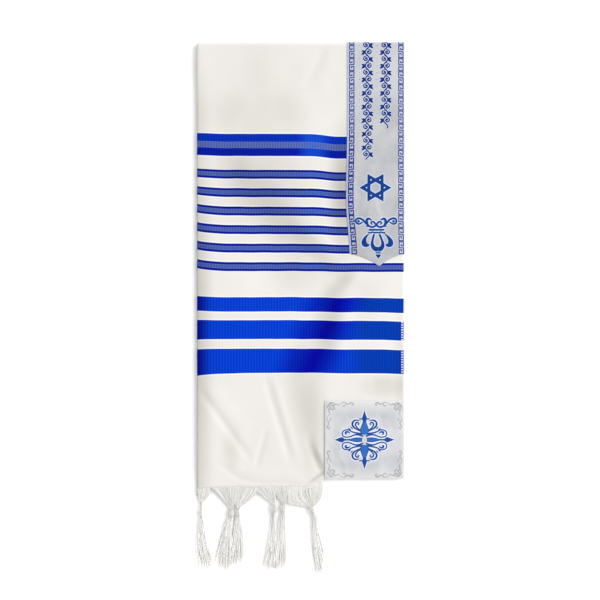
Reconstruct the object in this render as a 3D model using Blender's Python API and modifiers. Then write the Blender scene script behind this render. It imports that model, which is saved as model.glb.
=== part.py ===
"""A tallit folded in four and laid flat: front cloth, hidden layers, neckband, corner patch and knotted tassels.

The shawl is folded lengthwise, which makes the left edge, and then across the middle, which makes the top edge.
Points on the folded cloth are given by u, the distance from the left edge, and v, the distance from the top edge.
"""

import math
from collections import namedtuple

import bmesh
import bpy
from mathutils import Vector

MM = 0.001

# The folded shawl
CLOTH_WIDTH = 350 * MM
OVERALL_WIDTH = 352 * MM
OVERALL_LENGTH = 896 * MM
PATCH_HEM = 738.3 * MM
FRINGE_HEM = 751.3 * MM
CLOTH_THICKNESS = 1.1 * MM
CLEARANCE = 0.35 * MM

# Heights of the stack of four layers
STACK_HEIGHT = 8.8 * MM
SELVAGE_DROP = 2.2 * MM
HEM_DROP = 2.2 * MM
EDGE_FADE = 22 * MM

# Fold edges: how far each rounds out, and how much cloth shows under it
SIDE_FOLD_REACH = 3.0 * MM
SIDE_FOLD_FOOT = 0.54
TOP_FOLD_REACH = 5.0 * MM
LIFT_OVER_NECKBAND = 1.4 * MM
UNDER_RETURN = 10 * MM
FOLD_STEPS = 6

# Neckband and corner patch, sewn on the front
TRIM_THICKNESS = 1.0 * MM
NECKBAND_LEFT_TOP = 254.5 * MM
NECKBAND_LEFT_END = 260.0 * MM
NECKBAND_SHOULDER = 358.0 * MM
NECKBAND_POINT = 379.0 * MM
PATCH_LEFT = 216.5 * MM
PATCH_TOP = 606.2 * MM
PATCH_RIGHT = 351.0 * MM
PATCH_ROUNDING = 2.0 * MM
EYELET_RADIUS = 2.6 * MM

# Tassels
KNOT_WIDTH = 8.0 * MM
KNOT_HEIGHT = 6.0 * MM
KNOT_LENGTH = 9.0 * MM
KNOT_COLUMNS, KNOT_ROWS = 5, 2
STRAND_HALF = 0.5 * MM
LOCK_HALF = 1.1 * MM
ROW_SHIFT = 0.4 * MM
FLOOR_GAP = 0.4 * MM

Crease = namedtuple("Crease", "u_start v_start u_end v_end half_width height")
CREASES = (  # millimetres; a negative height is a valley
    Crease(3, 585, 86, 704, 9, -1.6),
    Crease(30, 585, 112, 692, 18, 1.2),
    Crease(117, 580, 157, 700, 9, -1.5),
    Crease(136, 580, 176, 698, 11, 1.0),
    Crease(117, 656, 101, 717, 8, -1.1),
    Crease(42, 718, 85, 742, 8, -0.9),
    Crease(176, 666, 209, 728, 11, -2.0),
    Crease(237, 412, 179, 568, 18, -1.5),
    Crease(262, 412, 225, 575, 20, 0.9),
    Crease(205, 25, 184, 76, 9, -0.7),
    Crease(172, 150, 176, 380, 28, 0.6),
    Crease(296, 577, 326, 573, 9, -0.8),
)

Ring = namedtuple("Ring", "layer rise left rest")
RINGS = (  # millimetres in from the layer's left edge and its other edges
    Ring("lower", 0.00, 1.5, 0.5),
    Ring("lower", 0.12, 0.6, 0.0),
    Ring("lower", 0.38, 0.1, 0.0),
    Ring("lower", 0.48, 0.0, 1.8),
    Ring("lower", 0.54, 0.0, 1.8),
    Ring("lower", 0.64, 0.1, 1.0),
    Ring("lower", 0.88, 0.6, 1.0),
    Ring("lower", 1.00, 1.5, 1.6),
    Ring("upper", 0.00, 0.6, 0.6),
    Ring("upper", 0.20, 0.0, 0.0),
    Ring("upper", 0.75, 0.1, 0.0),
    Ring("upper", 1.00, 1.0, 0.8),
)
LOWER_LAYERS_TOP = 3.1 * MM
INNER_COLUMNS, INNER_ROWS = 14, 26

Tassel = namedtuple("Tassel", "layer knot_u knot_v root_left root_right end_left end_right end_v")
TASSELS = (  # millimetres
    Tassel("front", 5.6, 793, 1.5, 20, 5, 25, 889),
    Tassel("back", 52.4, 798, 22, 80, 33, 55, 891),
    Tassel("front", 66.8, 796, 58, 92.5, 59, 79, 881),
    Tassel("front", 127, 790, 94, 128, 113, 131.5, 889),
    Tassel("back", 140.7, 790, 130, 165, 135.5, 151, 888),
    Tassel("front", 194.6, 789, 168, 212, 196, 214, 896),
)
KNOT_RINGS = ((0, 0.72), (0.08, 0.95), (0.3, 1.05), (0.5, 0.88), (0.7, 1.05), (0.92, 0.95), (1, 0.72))

CLOTH_COLOUR = (0.86, 0.84, 0.80)
INNER_COLOUR = (0.80, 0.78, 0.74)
NECKBAND_COLOUR = (0.50, 0.53, 0.62)
PATCH_COLOUR = (0.62, 0.64, 0.70)
FRINGE_COLOUR = (0.87, 0.85, 0.81)


def ease(low, high, x):
    """0 below low and 1 above high, with a smooth step between."""
    t = min(1.0, max(0.0, (x - low) / (high - low)))
    return t * t * (3 - 2 * t)


def spread(low, high, count):
    """count + 1 evenly spaced values."""
    return [low + (high - low) * i / count for i in range(count + 1)]


def place(u, v, z):
    """The point at u and v on the folded shawl, at height z over the floor, in the part's own frame."""
    return Vector((u - OVERALL_WIDTH / 2, OVERALL_LENGTH / 2 - v, z))


def front_hem(u):
    """v of the front cloth's end: level at the corner patch, and a little lower where the fringe hangs."""
    sag = (FRINGE_HEM - PATCH_HEM) * (1 - ease(188 * MM, 216 * MM, u))
    return PATCH_HEM + sag + 5 * MM * math.exp(-u / (25 * MM))


def back_hem(u):
    """v of the lower layers' end, which shows a little below the front near the side fold."""
    past_front = 3 * MM * (1 - ease(180 * MM, 205 * MM, u)) + 10 * MM * math.exp(-u / (12 * MM))
    return front_hem(u) + past_front - 1.5 * MM


def crease_height(crease, u, v):
    """The height that one crease adds at u and v: a bell across it that fades at both ends."""
    start = Vector((crease.u_start, crease.v_start)) * MM
    along = Vector((crease.u_end, crease.v_end)) * MM - start
    offset = Vector((u, v)) - start
    share = offset.dot(along) / along.length_squared
    across = abs(offset.x * along.y - offset.y * along.x) / along.length
    fade = ease(-0.25, 0.25, share) * (1 - ease(0.75, 1.25, share))
    return crease.height * MM * fade * math.exp(-((across / (crease.half_width * MM)) ** 2))


def front_top(u, v):
    """Height of the front cloth's upper side."""
    drops = SELVAGE_DROP * math.exp(-(CLOTH_WIDTH - u) / EDGE_FADE)
    drops += HEM_DROP * math.exp(-max(0.0, front_hem(u) - v) / EDGE_FADE)
    inside = ease(0, 14 * MM, u) * ease(0, 14 * MM, v)
    return STACK_HEIGHT - drops + inside * sum(crease_height(c, u, v) for c in CREASES)


def make_object(name, points, faces, colour, roughness=0.85):
    """An object in the shawl's collection from points and faces turned outward or upward, with its own material."""
    mesh = bpy.data.meshes.new(name)
    mesh.from_pydata(points, [], faces)
    work = bmesh.new()
    work.from_mesh(mesh)
    bmesh.ops.recalc_face_normals(work, faces=work.faces)
    if any(edge.is_boundary for edge in work.edges) and sum(f.normal.z * f.calc_area() for f in work.faces) < 0:
        bmesh.ops.reverse_faces(work, faces=work.faces)
    work.to_mesh(mesh)
    work.free()
    mesh.shade_smooth()
    obj = bpy.data.objects.new(name, mesh)
    shawl.objects.link(obj)
    material = bpy.data.materials.new(name)
    material.use_nodes = True
    shader = material.node_tree.nodes["Principled BSDF"]
    shader.inputs["Base Color"].default_value = (*colour, 1)
    shader.inputs["Roughness"].default_value = roughness
    shader.inputs["Metallic"].default_value = 0
    mesh.materials.append(material)
    return obj


def sheet_of(rows):
    """Points and quads of an open sheet from rows of points, all of one length."""
    count = len(rows[0])
    corner = [r * count + c for r in range(len(rows) - 1) for c in range(count - 1)]
    return [p for row in rows for p in row], [(k, k + 1, k + count + 1, k + count) for k in corner]


def solidify(obj, thickness, offset):
    """Makes the open sheet a wall, on its inner side for offset -1 and its outer side for 1."""
    wall = obj.modifiers.new("wall", "SOLIDIFY")
    wall.thickness = thickness
    wall.offset = offset
    wall.use_even_offset = False


def cut(obj, name, mesh, operation, location=(0, 0, 0)):
    """Cuts obj with a mesh that is kept apart from the shawl."""
    cutter = bpy.data.objects.new(name, mesh)
    cutter.location = location
    cutter.hide_render = True
    cutter.display_type = "WIRE"
    cutters.objects.link(cutter)
    step = obj.modifiers.new(name, "BOOLEAN")
    step.operation = operation
    step.solver = "EXACT"
    step.object = cutter


PANEL_START = TRIM_THICKNESS + CLEARANCE + TOP_FOLD_REACH
PANEL_U = spread(SIDE_FOLD_REACH, PATCH_LEFT, 18)[:-1] + spread(PATCH_LEFT, CLOTH_WIDTH, 11)
PANEL_SHARES = spread(0, 0.745, 14)[:-1] + spread(0.745, 1, 18)


def panel_v(u, share):
    """v of the panel at u, at a share of the way from the top fold to the hem."""
    return PANEL_START + share * (front_hem(u) - PANEL_START)


def last_row_before(v):
    """The last of the panel's rows that is above v all along."""
    return max(j for j, share in enumerate(PANEL_SHARES) if panel_v(0, share) < v)


def round_fold(u, v, reach_u, reach_v, foot, back_u, back_v):
    """Points round a fold from the panel's rim at u and v down to its foot, and from there back under the cloth."""
    top = front_top(u, v)
    middle, half = (top + foot) / 2, (top - foot) / 2
    narrow = min(1, half**2 / (1.1 * CLOTH_THICKNESS) / max(reach_u, reach_v))
    points = []
    for turn in spread(0, math.pi, FOLD_STEPS)[1:]:
        out = narrow * math.sin(turn)
        points.append(place(u - reach_u * out, v - reach_v * out, middle + half * math.cos(turn)))
    points.append(place(u + back_u, v + back_v, foot))
    return points


def front_rows():
    """The front's rows of points: back under the top fold, round the fold, and down the panel to the hem."""
    columns = []
    for u in PANEL_U:
        from_corner = u - PANEL_U[0]
        foot = LIFT_OVER_NECKBAND * ease(238 * MM, 250 * MM, u)
        back = min(UNDER_RETURN, from_corner + 0.5 * MM)
        at_corner = from_corner < MM
        reach_u, reach_v = (0.8 * SIDE_FOLD_REACH, 0.8 * TOP_FOLD_REACH) if at_corner else (0, TOP_FOLD_REACH)
        columns.append(round_fold(u, PANEL_START, reach_u, reach_v, foot, back if at_corner else 0, back)[::-1])
    folded = [list(row) for row in zip(*columns)]
    panel = []
    for share in PANEL_SHARES:
        panel.append([place(u, panel_v(u, share), front_top(u, panel_v(u, share))) for u in PANEL_U])
    return folded + panel


def front_cloth(rows):
    """The front panel with its top fold and its side fold, as one wall."""
    points, faces = sheet_of(rows)
    count = len(PANEL_U)
    first = FOLD_STEPS + 1
    before = [r * count for r in range(first, -1, -1)]
    u = PANEL_U[0]
    for j, share in enumerate(PANEL_SHARES[1:], 1):
        v = panel_v(u, share)
        foot = SIDE_FOLD_FOOT * front_top(u, v) * ease(0, 30 * MM, v - PANEL_START)
        side = round_fold(u, v, SIDE_FOLD_REACH, 0, foot, UNDER_RETURN, 0)
        here = [(first + j) * count] + list(range(len(points), len(points) + len(side)))
        points += side
        faces += [(before[k], before[k + 1], here[k + 1], here[k]) for k in range(len(side))]
        before = here
    solidify(make_object("front_cloth", points, faces, CLOTH_COLOUR), CLOTH_THICKNESS, -1)


def moved_out(rows):
    """Rows of the front's points moved out by the clearance, with one more column past the selvage."""
    wide = [row + [row[-1] + Vector((4 * MM, 0, -0.4 * MM))] for row in rows]
    points, faces = sheet_of(wide)
    mesh = bpy.data.meshes.new("moved_out")
    mesh.from_pydata(points, [], faces)
    outward = 1 if mesh.vertices[len(points) // 2].normal.z > 0 else -1
    moved = [vertex.co + vertex.normal * outward * CLEARANCE for vertex in mesh.vertices]
    return moved, faces


def prism(name, outline):
    """A tall upright body with a flat outline of (u, v) points."""
    low = [place(u, v, -30 * MM) for u, v in outline]
    high = [place(u, v, 30 * MM) for u, v in outline]
    count = len(outline)
    faces = [tuple(range(count)), tuple(range(2 * count - 1, count - 1, -1))]
    faces += [(k, count + k, count + (k + 1) % count, (k + 1) % count) for k in range(count)]
    mesh = bpy.data.meshes.new(name)
    mesh.from_pydata(low + high, [], faces)
    work = bmesh.new()
    work.from_mesh(mesh)
    bmesh.ops.recalc_face_normals(work, faces=work.faces)
    work.to_mesh(mesh)
    work.free()
    return mesh


def neckband(rows):
    """The band along the selvage, which goes over the top fold with the cloth and ends in a shallow ogee point."""
    middle = (NECKBAND_LEFT_END + OVERALL_WIDTH) / 2
    half = (OVERALL_WIDTH - NECKBAND_LEFT_END) / 2
    depth = NECKBAND_POINT - NECKBAND_SHOULDER
    outline = [(OVERALL_WIDTH, -20 * MM)]
    for share in spread(1, -1, 12):
        fall = 1 - abs(share)
        outline.append((middle + half * share, NECKBAND_SHOULDER + depth * (0.45 * fall + 0.55 * fall**2.2)))
    outline.append((NECKBAND_LEFT_TOP, -20 * MM))
    column = max(i for i, u in enumerate(PANEL_U) if u < NECKBAND_LEFT_TOP)
    last = FOLD_STEPS + 1 + last_row_before(NECKBAND_POINT) + 2
    points, faces = moved_out([row[column:] for row in rows[:last]])
    band = make_object("neckband", points, faces, NECKBAND_COLOUR, roughness=0.45)
    solidify(band, TRIM_THICKNESS, 1)
    cut(band, "neckband_outline", prism("neckband_outline", outline), "INTERSECT")


def corner_patch(rows):
    """The square patch on the front's corner, with the eyelet that a ritual tassel can be tied through."""
    outline = []
    for u, v, start in (
        (PATCH_LEFT, PATCH_TOP, 180),
        (PATCH_RIGHT, PATCH_TOP, 270),
        (PATCH_RIGHT, PATCH_HEM, 0),
        (PATCH_LEFT, PATCH_HEM, 90),
    ):
        centre_u = u + PATCH_ROUNDING * (1 if u == PATCH_LEFT else -1)
        centre_v = v + PATCH_ROUNDING * (1 if v == PATCH_TOP else -1)
        for turn in spread(math.radians(start), math.radians(start + 90), 3):
            outline.append((centre_u + PATCH_ROUNDING * math.cos(turn), centre_v + PATCH_ROUNDING * math.sin(turn)))
    column = max(i for i, u in enumerate(PANEL_U) if u < PATCH_LEFT - MM)
    first = FOLD_STEPS + 1 + last_row_before(PATCH_TOP)
    taken = [row[column:] for row in rows[first:]]
    taken.append([p + Vector((0, -4 * MM, -0.3 * MM)) for p in taken[-1]])
    points, faces = moved_out(taken)
    patch = make_object("corner_patch", points, faces, PATCH_COLOUR, roughness=0.45)
    solidify(patch, TRIM_THICKNESS, 1)
    cut(patch, "patch_outline", prism("patch_outline", outline), "INTERSECT")
    hole = bpy.data.meshes.new("eyelet")
    work = bmesh.new()
    bmesh.ops.create_cone(
        work, cap_ends=True, segments=16, radius1=EYELET_RADIUS, radius2=EYELET_RADIUS, depth=60 * MM
    )
    work.to_mesh(hole)
    work.free()
    centre = place((PATCH_LEFT + PATCH_RIGHT) / 2, (PATCH_TOP + PATCH_HEM) / 2, 0)
    cut(patch, "eyelet", hole, "DIFFERENCE", centre)


def stacked_body(columns, rows, levels, at, divided):
    """Points and faces of a closed body between outlines, one for each level. at gives the point at a column, a row
    and a level, and divided says for the first and the last level whether its face is in cells."""
    rim = [(i, 0) for i in range(columns)] + [(columns, j) for j in range(rows)]
    rim += [(i, rows) for i in range(columns, 0, -1)] + [(0, j) for j in range(rows, 0, -1)]
    count = len(rim)
    points = [at(i, j, level) for level in levels for i, j in rim]
    faces = []
    for start in range(0, count * (len(levels) - 1), count):
        for k in range(count):
            after = (k + 1) % count
            faces.append((start + k, start + after, start + count + after, start + count + k))
    for start, level, in_cells in ((0, levels[0], divided[0]), (count * (len(levels) - 1), levels[-1], divided[1])):
        if not in_cells:
            faces.append(tuple(range(start, start + count)))
            continue
        index = {cell: start + k for k, cell in enumerate(rim)}
        for i in range(1, columns):
            for j in range(1, rows):
                index[i, j] = len(points)
                points.append(at(i, j, level))
        for i in range(columns):
            for j in range(rows):
                faces.append((index[i, j], index[i + 1, j], index[i + 1, j + 1], index[i, j + 1]))
    return points, faces


def under_front(u, v):
    """The lowest that the front's underside comes near u and v, less the clearance."""
    near = []
    for du in spread(-30 * MM, 30 * MM, 4):
        for dv in spread(-34 * MM, 34 * MM, 4):
            nearby_u = min(CLOTH_WIDTH, max(SIDE_FOLD_REACH, u + du))
            near.append(front_top(nearby_u, min(front_hem(nearby_u), v + dv)))
    return min(near) - CLOTH_THICKNESS - 2 * CLEARANCE


def inner_layers():
    """The three layers under the front as one body, rounded at the side fold and stepped at its other edges."""

    def at(i, j, ring):
        across, down = i / INNER_COLUMNS, j / INNER_ROWS
        lower = ring.layer == "lower"
        top = (17.2 if lower else 19.2) * MM
        right = (349.6 if lower else 348.2) * MM
        v = top + down * (PATCH_HEM - top)
        left = 0.4 * MM + 13 * MM * (1 - ease(46 * MM, 62 * MM, v)) if lower else 14.9 * MM
        u = left + across * (right - left)
        end = back_hem(u) if lower else front_hem(u) - 3.4 * MM
        v = top + down * (end - top)
        u += ring.left * MM if i == 0 else -ring.rest * MM if i == INNER_COLUMNS else 0
        v += ring.rest * MM if j == 0 else -ring.rest * MM if j == INNER_ROWS else 0
        if lower:
            return place(u, v, ring.rise * LOWER_LAYERS_TOP)
        return place(u, v, LOWER_LAYERS_TOP + ring.rise * (under_front(u, v) - LOWER_LAYERS_TOP))

    points, faces = stacked_body(INNER_COLUMNS, INNER_ROWS, RINGS, at, (False, True))
    make_object("inner_layers", points, faces, INNER_COLOUR)


def grow_strand(work, face, path, halves):
    """Extrudes one cell of a knot along a path of points, with a half width at each."""
    bmesh.ops.inset_individual(work, faces=[face], thickness=0.14 * MM)
    before = face.calc_center_median()
    for point, half in zip(path, halves):
        along = (point - before).normalized()
        side = Vector((0, 0, 1)).cross(along).normalized()
        rise = along.cross(side)
        face = bmesh.ops.extrude_discrete_faces(work, faces=[face])["faces"][0]
        middle = face.calc_center_median()
        for vert in face.verts:
            offset = vert.co - middle
            to_side = math.copysign(half, offset.dot(side))
            to_rise = math.copysign(half, offset.dot(rise))
            vert.co = point + side * to_side + rise * to_rise
        before = point


def straight_hem(u):
    """The furthest that the front's end, straight between the panel's columns, comes within a strand's width of u."""
    furthest = 0
    for near in (max(PANEL_U[0], u - 2 * STRAND_HALF), u + 2 * STRAND_HALF):
        column = max(i for i, left in enumerate(PANEL_U[:-1]) if left <= near)
        left, right = PANEL_U[column : column + 2]
        share = (near - left) / (right - left)
        furthest = max(furthest, front_hem(left) + share * (front_hem(right) - front_hem(left)))
    return furthest


def fan_path(tassel, start, share, shift):
    """From the knot up to the hem: a tassel's strands spread to their places along the cloth's end."""
    u = (tassel.root_left + share * (tassel.root_right - tassel.root_left)) * MM
    if tassel.layer == "front":
        hem = straight_hem(u) + CLEARANCE
        height = front_top(u, front_hem(u)) - CLOTH_THICKNESS / 2 + shift
    else:
        hem = back_hem(u) + 2 * CLEARANCE
        height = STRAND_HALF + FLOOR_GAP + ROW_SHIFT + shift
    root = place(u, hem, height)
    near = start.lerp(root, 0.2)
    near.z = height
    return [near, root]


def lock_path(tassel, start, share, row, column):
    """From the knot down to the tip: the locks of the skirt spread, and lie in two layers on the floor."""
    end_u = (tassel.end_left + share * (tassel.end_right - tassel.end_left)) * MM
    start_u = start.x + OVERALL_WIDTH / 2
    start_v = OVERALL_LENGTH / 2 - start.y
    end_v = tassel.end_v * MM - 2.5 * MM * ((column * 2 + row) % 3)
    height = LOCK_HALF + FLOOR_GAP + row * 2.6 * LOCK_HALF
    path = []
    for part in (0.12, 0.4, 0.72, 1.0):
        u = start_u + (end_u - start_u) * ease(0, 1.1, part)
        path.append(place(u, start_v + part * (end_v - start_v), start.z + (height - start.z) * ease(0, 0.5, part)))
    return path


def tassel_node(number, tassel):
    """One knotted tassel: the knot, the strands that come down to it from the hem, and the locks below it."""

    def at(i, j, ring):
        along, swell = ring
        x = 2 * i / KNOT_COLUMNS - 1
        y = 2 * j / KNOT_ROWS - 1
        return place(
            tassel.knot_u * MM + x * math.sqrt(1 - 0.35 * y * y) * swell * KNOT_WIDTH / 2,
            tassel.knot_v * MM + (along - 0.5) * KNOT_LENGTH,
            FLOOR_GAP + KNOT_HEIGHT / 2 * (1.05 + y * math.sqrt(1 - 0.35 * x * x) * swell),
        )

    points, faces = stacked_body(KNOT_COLUMNS, KNOT_ROWS, KNOT_RINGS, at, (True, True))
    knot = make_object(f"tassel_{number}", points, faces, FRINGE_COLOUR)
    work = bmesh.new()
    work.from_mesh(knot.data)
    work.faces.ensure_lookup_table()
    cells = [(i, j) for i in range(KNOT_COLUMNS) for j in range(KNOT_ROWS)]
    ends = list(work.faces)[-2 * len(cells) :]
    for (column, row), face in zip(cells + cells, ends):
        start = face.calc_center_median()
        share = (column + 0.25 + 0.5 * row) / KNOT_COLUMNS
        if face in ends[: len(cells)]:
            path = fan_path(tassel, start, share, ROW_SHIFT * (2 * row - 1))
            grow_strand(work, face, path, (0.7 * STRAND_HALF, STRAND_HALF))
        else:
            path = lock_path(tassel, start, share, row, column)
            grow_strand(work, face, path, (0.36 * LOCK_HALF, 0.7 * LOCK_HALF, LOCK_HALF, 0.4 * LOCK_HALF))
    work.to_mesh(knot.data)
    work.free()
    knot.data.shade_smooth()


for old in list(bpy.data.objects):
    bpy.data.objects.remove(old)
shawl = bpy.data.collections.new("tallit")
cutters = bpy.data.collections.new("cutters")
bpy.context.scene.collection.children.link(shawl)
bpy.context.scene.collection.children.link(cutters)

grid = front_rows()
front_cloth(grid)
inner_layers()
neckband(grid)
corner_patch(grid)
for number, tassel in enumerate(TASSELS, 1):
    tassel_node(number, tassel)
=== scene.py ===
"""A tallit folded in four and laid flat, seen from straight above."""

import math
from collections import namedtuple

import bmesh
import bpy
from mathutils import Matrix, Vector, noise


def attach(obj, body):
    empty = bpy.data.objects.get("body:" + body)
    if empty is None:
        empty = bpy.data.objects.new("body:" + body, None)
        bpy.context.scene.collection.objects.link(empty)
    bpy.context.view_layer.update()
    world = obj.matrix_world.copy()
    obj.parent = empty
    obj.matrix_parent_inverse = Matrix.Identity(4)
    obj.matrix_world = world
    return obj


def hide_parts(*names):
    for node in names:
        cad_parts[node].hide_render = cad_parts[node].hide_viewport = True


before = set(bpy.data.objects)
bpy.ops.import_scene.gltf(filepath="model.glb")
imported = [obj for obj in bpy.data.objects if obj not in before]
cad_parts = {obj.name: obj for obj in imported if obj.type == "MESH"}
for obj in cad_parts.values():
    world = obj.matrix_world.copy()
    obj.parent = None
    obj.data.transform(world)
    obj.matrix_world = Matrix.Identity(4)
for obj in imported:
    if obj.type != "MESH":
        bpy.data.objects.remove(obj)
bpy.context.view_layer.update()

# The front of the folded shawl: one layer of off-white wool with blue stripes woven across it, which goes
# round the lengthwise fold at the left and round the mid-length fold at the top.
# u is the distance from the left edge, v from the top edge, and s the distance down the cloth itself.

MM = 0.001
OVERALL_WIDTH, OVERALL_LENGTH, CLOTH_WIDTH = 352 * MM, 896 * MM, 350 * MM
PATCH_HEM, FRINGE_HEM = 738.3 * MM, 751.3 * MM
CLOTH_THICKNESS = 0.9 * MM
STACK_HEIGHT, SELVAGE_DROP, HEM_DROP, EDGE_FADE = 8.8 * MM, 2.2 * MM, 2.2 * MM, 22 * MM
SIDE_DROP, SIDE_FADE = 1.7 * MM, 16 * MM
SIDE_FOLD_REACH, TOP_FOLD_REACH, SIDE_FOLD_FOOT = 3.0 * MM, 5.0 * MM, 0.54
LIFT_OVER_NECKBAND, UNDER_RETURN = 1.4 * MM, 10 * MM
TOP_START, TOP_FOLD_LENGTH = 6.35 * MM, 15 * MM
FOLD_STEPS, RETURN_STEPS = 12, 3

Crease = namedtuple("Crease", "half_width height points")
CREASES = [Crease(*row) for row in (  # millimetres; a negative height is a valley
    (6.5, -1.7, ((3, 586), (45, 642), (86, 700))),
    (15, 0.9, ((30, 590), (56, 626), (82, 664))),
    (5.5, -1.3, ((118, 572), (131, 617), (145, 661), (157, 702))),
    (6, 0.9, ((131, 572), (144, 617), (158, 661), (170, 702))),
    (5, -1.2, ((117, 656), (108, 690), (101, 717))),
    (3.2, -1.0, ((44, 719), (69, 737), (98, 745), (150, 747), (179, 748), (198, 735), (214, 726))),
    (7, 0.6, ((52, 708), (80, 726), (115, 733), (170, 734), (200, 712))),
    (6, -1.7, ((190, 666), (201, 698), (209, 728))),
    (14, -0.7, ((180, 620), (186, 656), (192, 690))),
    (13, -1.5, ((240, 430), (215, 495), (186, 566))),
    (11, -0.7, ((264, 384), (250, 404), (234, 428))),
    (18, 0.9, ((262, 412), (246, 490), (225, 575))),
    (7, -0.8, ((216, 10), (198, 46), (181, 80))),
    (10, 0.5, ((228, 20), (208, 84))),
    (28, 0.6, ((172, 150), (176, 380))),
    (9, -0.8, ((296, 577), (326, 573))),
    (4, -0.6, ((213, 606), (213, 735))),
    (2.5, -0.3, ((262, 207), (300, 205), (345, 206))),
    (3.4, 0.7, ((296, 254), (294, 274), (288, 296))),
    (3.4, 0.7, ((299, 262), (303, 280), (310, 296))),
    (3.5, 0.6, ((350, 128), (336, 143), (320, 160))),
    (3, 0.5, ((334, 225), (341, 262), (337, 300))),
    (5, -0.5, ((270, 232), (276, 262), (272, 290))),
    (8, -0.8, ((314, 624), (330, 646), (342, 672))),
    (12, 0.8, ((232, 716), (276, 712), (330, 700))),
    (4, 0.5, ((222, 670), (244, 700), (256, 732))),
    (4, -0.6, ((230, 652), (247, 636), (265, 620))),
    (5, -0.7, ((309, 628), (314, 644), (320, 664))),
    (4, -0.5, ((322, 622), (334, 624), (346, 622))),
    (20, 0.7, ((60, 120), (96, 330), (70, 520))),
    (12, -0.5, ((28, 200), (36, 420), (22, 560))),
)]


def ease(low, high, x):
    """0 below low and 1 above high, with a smooth step between."""
    t = min(1.0, max(0.0, (x - low) / (high - low)))
    return t * t * (3 - 2 * t)


def place(u, v, z):
    """The point at u and v on the folded shawl, at height z over the floor."""
    return Vector((u - OVERALL_WIDTH / 2, OVERALL_LENGTH / 2 - v, z))


def front_hem(u):
    """v of the front's end: level at the corner patch, and lower where the fringe hangs."""
    sag = (FRINGE_HEM - PATCH_HEM) * (1 - ease(188 * MM, 216 * MM, u))
    return PATCH_HEM + sag + 5 * MM * math.exp(-u / (25 * MM))


def back_hem(u):
    """v of the lower layers' ends, which show a little below the front near the side fold."""
    past_front = 3 * MM * (1 - ease(180 * MM, 205 * MM, u)) + 10 * MM * math.exp(-u / (12 * MM))
    return front_hem(u) + past_front - 1.5 * MM


def crease_height(crease, u, v):
    """Millimetres that one crease adds at u and v, in millimetres too: a bell, faded at its ends."""
    reach = 3 * crease.half_width
    us = [p[0] for p in crease.points]
    vs = [p[1] for p in crease.points]
    if not (min(us) - reach < u < max(us) + reach and min(vs) - reach < v < max(vs) + reach):
        return 0
    nearest, at_share, legs = reach * reach, 0, len(crease.points) - 1
    for leg, ((u0, v0), (u1, v1)) in enumerate(zip(crease.points, crease.points[1:])):
        du, dv = u1 - u0, v1 - v0
        along = ((u - u0) * du + (v - v0) * dv) / (du * du + dv * dv)
        held = along if leg == 0 else max(0, along)
        held = held if leg == legs - 1 else min(1, held)
        away = (u - u0 - held * du) ** 2 + (v - v0 - held * dv) ** 2
        if away < nearest:
            nearest, at_share = away, (leg + held) / legs
    fade = ease(-0.2, 0.22, at_share) * (1 - ease(0.78, 1.2, at_share))
    return crease.height * fade * math.exp(-nearest / crease.half_width**2)


def front_top(u, v):
    """Height of the front's upper side: lower at its free edges, with creases and soft ripples."""
    drops = SELVAGE_DROP * math.exp(-(CLOTH_WIDTH - u) / EDGE_FADE)
    drops += HEM_DROP * math.exp(-max(0.0, front_hem(u) - v) / EDGE_FADE)
    drops += SIDE_DROP * math.exp(-u / SIDE_FADE) * ease(10 * MM, 120 * MM, v)
    inside = ease(0, 14 * MM, u) * ease(0, 14 * MM, v)
    creased = sum(crease_height(c, u / MM, v / MM) for c in CREASES)
    ripple = 0.35 * noise.noise((u * 14, v * 9, 0.3)) + 0.16 * noise.noise((u * 46, v * 30, 4.1))
    return STACK_HEIGHT - drops + inside * (creased + ripple) * MM


def fold_point(u, v, reach_u, reach_v, foot, turn, out=0):
    """A point turn radians round a fold from the panel's rim at u and v, and out metres past the top fold."""
    top = front_top(u, v)
    middle, half = (top + foot) / 2, (top - foot) / 2
    narrow = min(1, half**2 / (1.3 * MM) / max(reach_u, reach_v))
    sideways = narrow * math.sin(turn)
    at_v = v - reach_v * sideways - out * math.sin(turn)
    return place(u - reach_u * sideways, at_v, middle + (half + out) * math.cos(turn))


def round_fold(u, v, reach_u, reach_v, foot, back_u, back_v):
    """Points round a fold from the panel's rim down to its foot, and from there back under the cloth."""
    turns = [math.pi * step / FOLD_STEPS for step in range(1, FOLD_STEPS + 1)]
    points = [fold_point(u, v, reach_u, reach_v, foot, turn) for turn in turns]
    for step in range(1, RETURN_STEPS + 1):
        share = step / RETURN_STEPS
        points.append(place(u + back_u * share, v + back_v * share, foot))
    return points


def spread(low, high, count):
    """count + 1 evenly spaced values."""
    return [low + (high - low) * k / count for k in range(count + 1)]


def stripe_shift(u, v):
    """How far the woven stripes lie below their straight lines, in metres."""
    across = ease(188, 238, u / MM) * (4.6 - 3.4 * ease(150, 400, v / MM))
    corner = 1.2 * ease(290, 350, u / MM) * ease(380, 450, v / MM)
    left = -1.9 - 3.6 * ease(190, 300, v / MM) * (1 - ease(375, 430, v / MM))
    left += 3 * ease(440, 500, v / MM)
    low = 4.2 * ease(515, 560, v / MM) * math.exp(-u / (60 * MM))
    waver = 0.6 * noise.noise((u * 30, v * 6, 7))
    return (across + corner + low + left * math.exp(-u / (24 * MM)) + waver) * MM


def put_in_scene(name, data):
    """A new object of the scene, with this data."""
    made = bpy.data.objects.new(name, data)
    bpy.context.scene.collection.objects.link(made)
    return made


def new_piece(name, points, faces, uv, finish):
    """A piece of the shawl from points and faces, with a UV place in metres for each point."""
    mesh = bpy.data.meshes.new(name)
    mesh.from_pydata(points, [], faces)
    layer = mesh.uv_layers.new(name="cloth")
    for loop in mesh.loops:
        layer.data[loop.index].uv = uv[loop.vertex_index]
    mesh.shade_smooth()
    mesh.materials.append(finish.material)
    return put_in_scene(name, mesh)


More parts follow.
